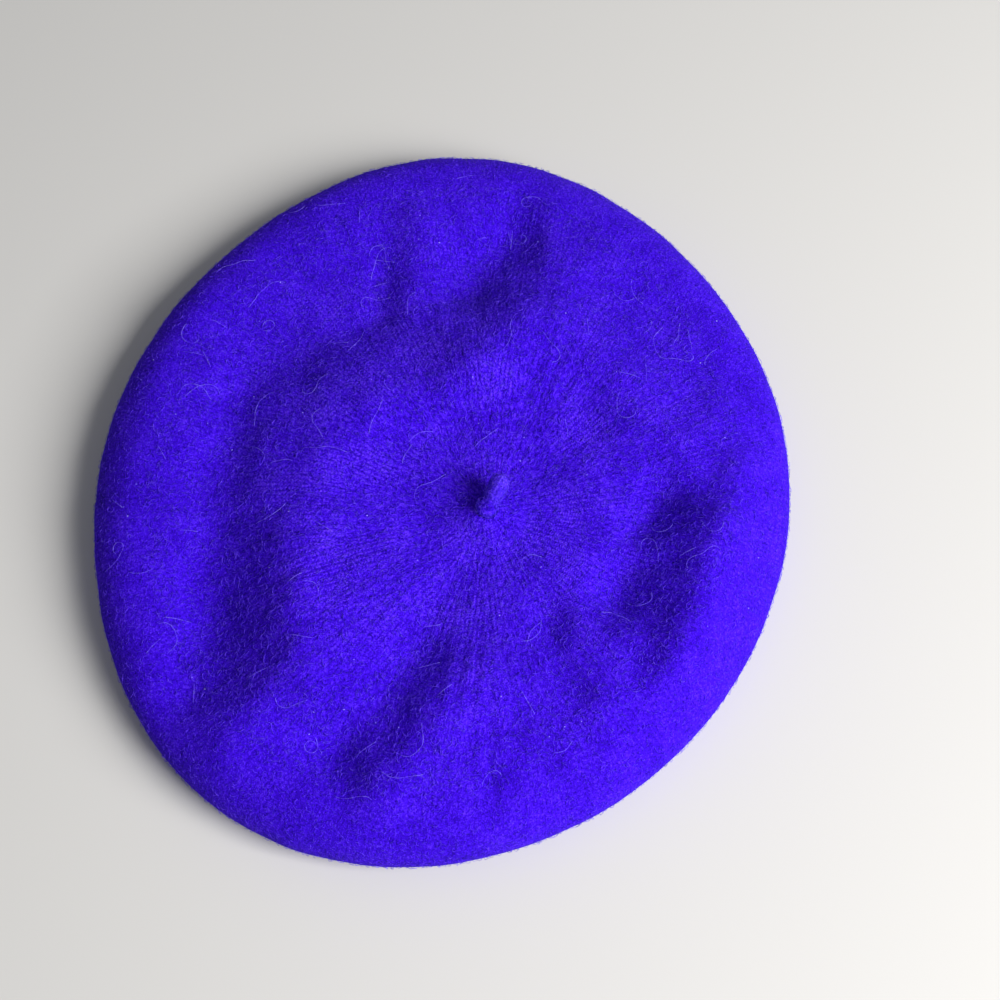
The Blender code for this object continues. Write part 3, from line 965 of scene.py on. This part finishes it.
def bandFace(angle, setup):
    # plan radius of the ribbon's inner face, stepping in where its end laps over its start
    run = angle - setup["joinAngle"] - 360.0 + setup["rampAngle"]
    lap = setup["thickness"] + setup["lapGap"]
    return feltShape["bandRadius"] - lap * float(smoothShare(run / setup["rampAngle"]))


def makeHatBand(setup):
    turnTotal = 360.0 + setup["lapAngle"]
    length = math.radians(turnTotal) * feltShape["bandRadius"]
    ribs = round(length / setup["ribPitch"])
    count = ribs * setup["samplesPerRib"] + 1
    edge, step, hem = setup["selvedge"], setup["edgeStep"], setup["hemRelief"]
    lowRows = [0.0, step, edge, edge + step]
    heights = [*lowRows, setup["width"] / 2.0, *(setup["width"] - row for row in lowRows[::-1])]
    relief = [hem, 0.0, 0.0, 1.0, 1.0, 1.0, 0.0, 0.0, hem]
    grid = np.zeros((len(heights), count, 3))
    for column in range(count):
        share = column / (count - 1)
        angle = setup["joinAngle"] + turnTotal * share
        face = bandFace(angle, setup)
        groove = setup["ribDepth"] * (1.0 - math.cos(2.0 * math.pi * share * ribs)) / 2.0
        for row, height in enumerate(heights):
            grid[row, column] = ringSpot(angle, face + groove * relief[row],
                                         setup["lowEdge"] + height)
    mesh = gridMesh("hatBand", grid, closed=False)
    row, column = cornerPlaces(mesh, count)
    setUv(mesh, "ribMap", np.stack([column / setup["samplesPerRib"], np.array(heights)[row]],
                                   axis=1))
    band = addPiece("hatBand", mesh, grosgrain)
    thicken(band, setup["thickness"] - setup["ribDepth"])
    return band, length


def makeStitchTree():
    # one stitch along each edge of the path mesh
    tree, entry, leave = newGeometryTree("sewnStitches", (("Thread radius", "Float"),
                                                          ("Finish", "Material")))
    add, calc = nodeMaker(tree)
    ends = add("GeometryNodeInputMeshEdgeVertices")
    run = add("ShaderNodeVectorMath", {0: ends.outputs["Position 2"],
                                       1: ends.outputs["Position 1"]},
              operation="SUBTRACT").outputs[0]
    kept = tree.nodes.new("GeometryNodeCaptureAttribute")
    kept.domain = "EDGE"
    kept.capture_items.new("VECTOR", "Run")
    tree.links.new(entry.outputs["Geometry"], kept.inputs["Geometry"])
    tree.links.new(run, kept.inputs["Run"])
    middles = add("GeometryNodeMeshToPoints", {"Mesh": kept.outputs["Geometry"]}, mode="EDGES")
    facing = add("FunctionNodeAlignRotationToVector", {"Vector": kept.outputs["Run"]}, axis="Z")
    length = add("ShaderNodeVectorMath", {0: kept.outputs["Run"]}, operation="LENGTH")
    half = calc("MULTIPLY", length.outputs["Value"], threadSetup["halfShare"])
    size = add("ShaderNodeCombineXYZ", {"X": entry.outputs["Thread radius"],
                                        "Y": entry.outputs["Thread radius"], "Z": half})
    ball = add("GeometryNodeMeshUVSphere", {"Segments": 8, "Rings": 7, "Radius": 1.0})
    sewn = add("GeometryNodeInstanceOnPoints",
               {"Points": middles.outputs[0], "Instance": ball.outputs["Mesh"],
                "Rotation": facing.outputs[0], "Scale": size.outputs[0]})
    real = add("GeometryNodeRealizeInstances", {"Geometry": sewn.outputs[0]})
    finished = add("GeometryNodeSetMaterial", {"Geometry": real.outputs[0],
                                               "Material": entry.outputs["Finish"]})
    tree.links.new(finished.outputs[0], leave.inputs[0])
    return tree


stitchTree = makeStitchTree()


def sew(name, edges):
    mesh = bpy.data.meshes.new(name + "Path")
    spots = [tuple(value * mm for value in spot) for edge in edges for spot in edge]
    mesh.from_pydata(spots, [(2 * step, 2 * step + 1) for step in range(len(edges))], [])
    return runTree(name, mesh, stitchTree, {"Thread radius": threadSetup["radius"] * mm,
                                            "Finish": threadMaterial}, threadMaterial)


def onBand(angle, height):
    return ringSpot(angle, bandFace(angle, bandSetup) - threadSetup["bandLift"], height)


def seamEdges(first, last, height, radius, place):
    # running stitches between two angles
    stitch = math.degrees(threadSetup["stitchLength"] / radius)
    count = round((last - first) / math.degrees(threadSetup["stitchPitch"] / radius))
    starts = [first + (last - first) * index / count for index in range(count)]
    return [(place(start, height), place(start + stitch, height)) for start in starts]


def makeBandSeam():
    first = bandSetup["joinAngle"] + bandSetup["lapAngle"] * 2.0
    last = bandSetup["joinAngle"] + 360.0 + bandSetup["lapAngle"] - 0.5
    return sew("bandSeam", seamEdges(first, last, threadSetup["seamHeight"],
                                     feltShape["bandRadius"], onBand))


def makeLapTack():
    # zigzag bar tack on the ribbon's lap
    low = threadSetup["seamHeight"] + threadSetup["seamInset"]
    high = bandSetup["lowEdge"] + bandSetup["width"] - threadSetup["seamInset"]
    middle = bandSetup["joinAngle"] + 360.0 + bandSetup["lapAngle"] / 2.0
    count, spread = threadSetup["tackCount"], threadSetup["tackSpread"]
    spots = [onBand(middle + (spread if index % 2 else -spread),
                    low + (high - low) * index / count) for index in range(count + 1)]
    return sew("lapTack", list(zip(spots, spots[1:])))


def labelFace():
    return feltShape["bandRadius"] - labelSetup["gap"] - labelSetup["sizeThickness"]


def makeSizeLabel(setup):
    rows, columns = setup["sizeGrid"]
    grid = np.zeros((rows, columns, 3))
    for row in range(rows):
        for column in range(columns):
            angle = setup["sizeAngle"] + setup["sizeSpan"] * column / (columns - 1)
            height = setup["sizeLow"] + setup["sizeHeight"] * row / (rows - 1)
            ripple = setup["ripple"] * noise.noise(Vector((angle * 0.5, height * 0.35, 3.0)))
            grid[row, column] = ringSpot(angle, labelFace() + setup["sizeLift"] + ripple, height)
    label = addPiece("sizeLabel", gridMesh("sizeLabel", grid, closed=False), satin)
    thicken(label, setup["sizeSheet"])
    return label


def makeSizeLabelSeam(setup):
    face = labelFace()
    inset = math.degrees(setup["stitchInset"] / face)
    first, last = setup["sizeAngle"] + inset, setup["sizeAngle"] + setup["sizeSpan"] - inset
    low = setup["sizeLow"] + setup["stitchInset"]
    high = setup["sizeLow"] + setup["sizeHeight"] - setup["stitchInset"]

    def place(angle, height):
        return ringSpot(angle, face - threadSetup["labelLift"], height)

    def stitchEnds(start, end, count, inset):
        return [tuple(start + (end - start) * (index + share) / count
                      for share in (inset, 1.0 - inset)) for index in range(count)]

    along, upward = threadSetup["labelStitches"]
    edges = [(place(start, height), place(end, height)) for height in (low, high)
             for start, end in stitchEnds(first, last, along, 0.08)]
    edges += [(place(angle, start), place(angle, end)) for angle in (first, last)
              for start, end in stitchEnds(low, high, upward, 0.12)]
    return sew("sizeLabelSeam", edges)


def makeCareLabel(setup):
    # folded double at its hinge, both ends hanging
    lowest, highest = (np.array(corner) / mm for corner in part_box("care_label"))
    outward = Vector((*(careHinge - Vector(stemHinge)).xy, 0.0)).normalized()
    length = careHinge.z - lowest[2]
    half = (highest[2] - careHinge.z) - setup["careSheet"] / 2.0
    shares, fold, ease = setup["careShares"], setup["careFold"], setup["careEase"]
    profile = [(half - ease, -length)]
    profile += [(half, -length * share) for share in shares]
    profile += [(half * math.cos(math.pi * step / fold), half * math.sin(math.pi * step / fold))
                for step in range(fold + 1)]
    profile += [(-half, -length * share) for share in reversed(shares)]
    profile += [(-half + ease, -length * 0.985)]   # the inner end is a little shorter
    grid = np.zeros((len(profile), setup["careColumns"], 3))
    for row, (out, up) in enumerate(profile):
        for column in range(setup["careColumns"]):
            side = setup["careWidth"] * (column / (setup["careColumns"] - 1) - 0.5)
            cup = setup["ripple"] * noise.noise(Vector((side * 0.18, up * 0.2, 7.0 + row * 0.01)))
            cup *= min(max(-up, 0.0) / 4.0, 1.0)
            grid[row, column] = (careHinge + Vector(careJoint["axis"]).normalized() * side
                                 + outward * (out * setup["carePinch"] + cup)
                                 + Vector((0.0, 0.0, up)))
    label = addPiece("careLabel", gridMesh("careLabel", grid, closed=False), satin)
    thicken(label, setup["careSheet"], offset=0.0)
    cleanMesh(label.data)
    return label, (setup["careWidth"], 2.0 * length + math.pi * half)


def makeCareLabelSeam(setup):
    angle = math.degrees(math.atan2(careHinge.y - crownMiddle[1], careHinge.x - crownMiddle[0]))
    halfAngle = math.degrees(math.asin(setup["careWidth"] / 2.0 / feltShape["bandRadius"]))
    height = bandSetup["lowEdge"] + bandSetup["width"] - threadSetup["careSeamInset"]
    return sew("careLabelSeam", seamEdges(angle - halfAngle, angle + halfAngle, height,
                                          feltShape["bandRadius"], onBand))


anchor = makeAnchorKnot(anchorSetup, feltShape, feltMaterial)
band, bandLength = makeHatBand(bandSetup)
bandSeam = makeBandSeam()
lapTack = makeLapTack()
sizeLabel = makeSizeLabel(labelSetup)
sizeLabelSeam = makeSizeLabelSeam(labelSetup)
careLabel, careFlat = makeCareLabel(labelSetup)
careLabelSeam = makeCareLabelSeam(labelSetup)

for piece, node, slot, body in ((anchor, "stem_anchor", "felt", "beret"),
                                (band, "sweatband", "grosgrain", "beret"),
                                (bandSeam, "sweatband_stitching", "sewing_thread", "beret"),
                                (lapTack, "sweatband_join_stitching", "sewing_thread", "beret"),
                                (sizeLabel, "size_label", "label_satin", "beret"),
                                (sizeLabelSeam, "size_label_stitching", "sewing_thread", "beret"),
                                (careLabel, "care_label", "label_satin", "care_label"),
                                (careLabelSeam, "care_label_stitching", "sewing_thread",
                                 "beret")):
    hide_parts(node)
    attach(piece, body)
print("ribbon, threads and labels made")

# Fuzz: short bent fibres that lie over the felt

fuzzFinish = {
    "deep": (0.022, 0.001, 0.44),
    "pale": (0.165, 0.060, 1.0),
    "hair": (0.33, 0.24, 1.0),
    "speck": (0.55, 0.52, 0.95),
}

# strands for each square centimetre, length and lift in millimetres
fuzzLayers = {
    "crownFuzzFine": {"part": "crown", "density": 19.0, "length": 1.9, "lift": 0.30,
                      "radius": 0.060, "curl": 0.45, "seed": 11},
    "crownFuzzSoft": {"part": "crown", "density": 19.0, "length": 2.4, "lift": 0.38,
                      "radius": 0.055, "curl": 0.60, "seed": 23},
    "rimFuzz": {"part": "rim", "density": 26.0, "length": 1.5, "lift": 0.36,
                "radius": 0.050, "curl": 0.50, "seed": 37},
    "stemFuzz": {"part": "stem", "density": 260.0, "length": 1.1, "lift": 0.40,
                 "radius": 0.045, "curl": 0.35, "seed": 53},
}


def makeFiberMaterial(name, low, high):
    material, shader, add, _ = newMaterial(name)
    each = noiseAt(add, add("ShaderNodeTexCoord").outputs["Object"], 700.0, 1.0)
    fillInputs(shader, {"Base Color": colorRamp(add, each, ((0.36, low), (0.66, high))),
                        "Roughness": 0.8, "Specular IOR Level": 0.2})
    return material


strandShape = {
    "bend": (0.5, 0.35, 1.6),   # middle: shares of the length, of the length and of the lift
    "end": (-0.1, 0.9),         # end: shares of the length sideways and of the lift
    "taper": 0.6,
    "sizeRange": (0.55, 1.5),
    "curlScale": 900.0,
}


def makeFuzzTree(shape):
    # bent strands scattered over the base, each turned and sized by chance
    tree, entry, leave = newGeometryTree(
        "feltFuzz", (("Density", "Float"), ("Length", "Float"), ("Lift", "Float"),
                     ("Radius", "Float"), ("Curl", "Float"), ("Seed", "Int"),
                     ("Finish", "Material")))
    add, calc = nodeMaker(tree)
    length, lift = entry.outputs["Length"], entry.outputs["Lift"]
    spots = add("GeometryNodeDistributePointsOnFaces",
                {"Mesh": entry.outputs["Geometry"], "Density": entry.outputs["Density"],
                 "Seed": entry.outputs["Seed"]}, distribute_method="RANDOM")
    bendX, bendY, bendZ = shape["bend"]
    endY, endZ = shape["end"]
    bend = add("ShaderNodeCombineXYZ", {"X": calc("MULTIPLY", length, bendX),
                                        "Y": calc("MULTIPLY", length, bendY),
                                        "Z": calc("MULTIPLY", lift, bendZ)})
    end = add("ShaderNodeCombineXYZ", {"X": length, "Y": calc("MULTIPLY", length, endY),
                                       "Z": calc("MULTIPLY", lift, endZ)})
    arc = add("GeometryNodeCurveQuadraticBezier",
              {"Resolution": 3, "Start": (0.0, 0.0, 0.0), "Middle": bend.outputs[0],
               "End": end.outputs[0]})
    ring = add("GeometryNodeCurvePrimitiveCircle", {"Resolution": 3,
                                                    "Radius": entry.outputs["Radius"]})
    along = add("GeometryNodeSplineParameter").outputs["Factor"]
    taper = calc("SUBTRACT", 1.0, calc("MULTIPLY", along, shape["taper"]))
    thin = add("GeometryNodeSetCurveRadius", {"Curve": arc.outputs[0], "Radius": taper})
    strand = add("GeometryNodeCurveToMesh", {"Curve": thin.outputs[0],
                                             "Profile Curve": ring.outputs[0],
                                             "Fill Caps": True})
    spin = add("FunctionNodeRandomValue", {2: 0.0, 3: 2.0 * math.pi}, data_type="FLOAT")
    tree.links.new(entry.outputs["Seed"], spin.inputs["Seed"])
    turn = add("ShaderNodeCombineXYZ", {"Z": spin.outputs[1]})
    turned = add("FunctionNodeEulerToRotation", {0: turn.outputs[0]})
    facing = add("FunctionNodeRotateRotation", {0: spots.outputs["Rotation"],
                                                1: turned.outputs[0]}, rotation_space="LOCAL")
    smallest, largest = shape["sizeRange"]
    size = add("FunctionNodeRandomValue", {2: smallest, 3: largest}, data_type="FLOAT")
    tree.links.new(calc("ADD", entry.outputs["Seed"], 7.0), size.inputs["Seed"])
    placed = add("GeometryNodeInstanceOnPoints",
                 {"Points": spots.outputs["Points"], "Instance": strand.outputs[0],
                  "Rotation": facing.outputs[0], "Scale": size.outputs[1]})
    real = add("GeometryNodeRealizeInstances", {"Geometry": placed.outputs[0]})
    stray = add("ShaderNodeTexNoise", {"Scale": shape["curlScale"], "Detail": 0.0})
    centered = add("ShaderNodeVectorMath", {0: stray.outputs["Color"], 1: (0.5, 0.5, 0.5)},
                   operation="SUBTRACT")
    shifted = add("ShaderNodeVectorMath", {0: centered.outputs[0],
                                           "Scale": entry.outputs["Curl"]}, operation="SCALE")
    curled = add("GeometryNodeSetPosition", {"Geometry": real.outputs[0],
                                             "Offset": shifted.outputs[0]})
    place = add("ShaderNodeSeparateXYZ", {0: add("GeometryNodeInputPosition").outputs[0]})
    above = add("ShaderNodeCombineXYZ", {"X": place.outputs["X"], "Y": place.outputs["Y"],
                                         "Z": calc("MAXIMUM", place.outputs["Z"], 0.0)})
    rested = add("GeometryNodeSetPosition", {"Geometry": curled.outputs[0],
                                             "Position": above.outputs[0]})
    finished = add("GeometryNodeSetMaterial", {"Geometry": rested.outputs[0],
                                               "Material": entry.outputs["Finish"]})
    tree.links.new(finished.outputs[0], leave.inputs[0])
    return tree


fuzzTree = makeFuzzTree(strandShape)
fuzzMaterial = makeFiberMaterial("feltFuzz", fuzzFinish["deep"], fuzzFinish["pale"])


fuzzRows = {
    "crown": (6, feltGrid["crownRows"]),
    "rim": (feltGrid["crownRows"] - 4,
            feltGrid["crownRows"] + feltGrid["rollRows"] + feltGrid["underRollRows"] - 2),
}


def fuzzBase(part):
    # the bit of skin that one layer grows from
    if part == "stem":
        return stem.data.copy()
    return gridMesh(part + "Skin", feltPoints[slice(*fuzzRows[part])])


def makeFuzz(name, layer):
    values = {"Density": layer["density"] * 1.0e4, "Length": layer["length"] * mm,
              "Lift": layer["lift"] * mm, "Radius": layer["radius"] * mm,
              "Curl": layer["curl"] * mm, "Seed": layer["seed"], "Finish": fuzzMaterial}
    fuzz = runTree(name, fuzzBase(layer["part"]), fuzzTree, values, fuzzMaterial)
    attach(fuzz, "stem" if layer["part"] == "stem" else "beret")
    print(name, len(fuzz.data.polygons), "faces")


for layerName, fuzzLayer in fuzzLayers.items():
    makeFuzz(layerName, fuzzLayer)

# Loose hairs and specks on the crown

hairSetup = {
    "count": 90,
    "radius": 0.060,
    "step": 0.7,
    "lift": 0.35,
    "arch": 1.6,              # extra lift halfway along
    "reach": 132.0,           # furthest a hair starts from the middle
    "straightShare": 0.30,
    "straightSteps": (9, 14),
    "bentSteps": (12, 30),
    "bendKept": 0.88,         # each step keeps this much of the last bend
    "bendStart": 0.20,
    "bendStep": 0.13,
    "bendMost": 0.34,
    "slopeMost": 5.0,
    "above": 60.0,            # height that places are dropped from
    "seed": 5,
}

speckSetup = {
    "count": 70,
    "radius": 0.16,
    "sizeRange": (0.6, 1.4),
    "stretchRange": (1.0, 2.2),
    "flatness": 0.6,
    "reach": 128.0,
    "seed": 6,
}


def feltUnder(skin, x, y):
    # where a drop from above meets the felt, in metres, or nothing
    above = Vector((x, y, hairSetup["above"])) * mm
    return skin.ray_cast(above, Vector((0.0, 0.0, -1.0)))[0]


def drawSpot(draw, reach):
    away, angle = reach * math.sqrt(draw.random()), draw.random() * 2.0 * math.pi
    return Vector((away * math.cos(angle), away * math.sin(angle)))


def makeHairs(setup, skin, finish):
    draw = random.Random(setup["seed"])
    paths = []
    while len(paths) < setup["count"]:
        spot = drawSpot(draw, setup["reach"])
        heading = draw.random() * 2.0 * math.pi
        straight = draw.random() < setup["straightShare"]
        steps = draw.randint(*setup["straightSteps" if straight else "bentSteps"])
        bend = 0.0 if straight else draw.uniform(-setup["bendStart"], setup["bendStart"])
        path = []
        for step in range(steps):
            hit = feltUnder(skin, spot.x, spot.y)
            if hit is None:
                break
            lift = setup["lift"] * (1.0 + setup["arch"] * math.sin(math.pi * step / steps))
            path.append((spot.x, spot.y, hit.z / mm + lift, 1.0 - 0.5 * step / steps))
            if not straight:
                bend = (setup["bendKept"] * bend
                        + draw.uniform(-setup["bendStep"], setup["bendStep"]))
            heading += max(min(bend, setup["bendMost"]), -setup["bendMost"])
            spot += Vector((math.cos(heading), math.sin(heading))) * setup["step"]
        if len(path) == steps and abs(path[0][2] - path[-1][2]) < setup["slopeMost"]:
            paths.append(path)
    return addPiece("looseHairs", tubeMesh("looseHairs", paths, setup["radius"], 1), finish)


def makeSpecks(setup, skin, finish):
    draw = random.Random(setup["seed"])
    specks = bmesh.new()
    for _ in range(setup["count"]):
        hit = feltUnder(skin, *drawSpot(draw, setup["reach"]))
        radius = setup["radius"] * draw.uniform(*setup["sizeRange"]) * mm
        stretch = Matrix.Diagonal((draw.uniform(*setup["stretchRange"]), 1.0,
                                   setup["flatness"], 1.0))
        turn = Matrix.Rotation(draw.random() * math.pi, 4, "Z")
        if hit is not None:
            bmesh.ops.create_icosphere(specks, subdivisions=1, radius=radius,
                                       matrix=Matrix.Translation(hit) @ turn @ stretch)
    mesh = bpy.data.meshes.new("paleSpecks")
    specks.to_mesh(mesh)
    specks.free()
    return addPiece("paleSpecks", mesh, finish)


feltSkin = BVHTree.FromObject(felt, bpy.context.evaluated_depsgraph_get())
hairMaterial = makeFiberMaterial("paleHair", fuzzFinish["pale"], fuzzFinish["hair"])
speckMaterial = makeFiberMaterial("paleSpeck", fuzzFinish["hair"], fuzzFinish["speck"])
for piece in (makeHairs(hairSetup, feltSkin, hairMaterial),
              makeSpecks(speckSetup, feltSkin, speckMaterial)):
    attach(piece, "beret")
print("loose hairs and specks made")

# Floor, light and backdrop

lightSetup = {
    "keyPlace": (1.13, -0.62, 0.98),
    "keySize": 0.9,
    "keyPower": 45.0,
    "fillPlace": (-1.2, 0.9, 1.6),
    "fillSize": 2.0,
    "fillPower": 0.8,
    "worldColor": (0.90, 0.94, 1.0),
    "worldStrength": 0.215,
    "floorColor": (0.62, 0.605, 0.58),
    "floorHalf": 3.0,
    "floorDrop": 0.0002,
}


def addAreaLight(name, place, size, power):
    data = bpy.data.lights.new(name, "AREA")
    data.size = size
    data.energy = power
    lamp = bpy.data.objects.new(name, data)
    lamp.location = place
    lamp.rotation_euler = (-Vector(place)).to_track_quat("-Z", "Y").to_euler()
    bpy.context.scene.collection.objects.link(lamp)


def makeStage(setup):
    mesh = bpy.data.meshes.new("paleFloor")
    half = setup["floorHalf"]
    mesh.from_pydata([(-half, -half, 0.0), (half, -half, 0.0), (half, half, 0.0),
                      (-half, half, 0.0)], [], [(0, 1, 2, 3)])
    material, shader, *_ = newMaterial("paleFloorPaint")
    fillInputs(shader, {"Base Color": (*setup["floorColor"], 1.0), "Roughness": 0.8})
    floor = addPiece("paleFloor", mesh, material)
    floor.location.z = -setup["floorDrop"]
    world = bpy.data.worlds.new("studioWorld")
    world.use_nodes = True
    fillInputs(world.node_tree.nodes["Background"], {"Color": (*setup["worldColor"], 1.0),
                                                     "Strength": setup["worldStrength"]})
    bpy.context.scene.world = world
    addAreaLight("windowLight", setup["keyPlace"], setup["keySize"], setup["keyPower"])
    addAreaLight("roomLight", setup["fillPlace"], setup["fillSize"], setup["fillPower"])
    bpy.context.scene.view_settings.view_transform = "Standard"


makeStage(lightSetup)
print("stage set")
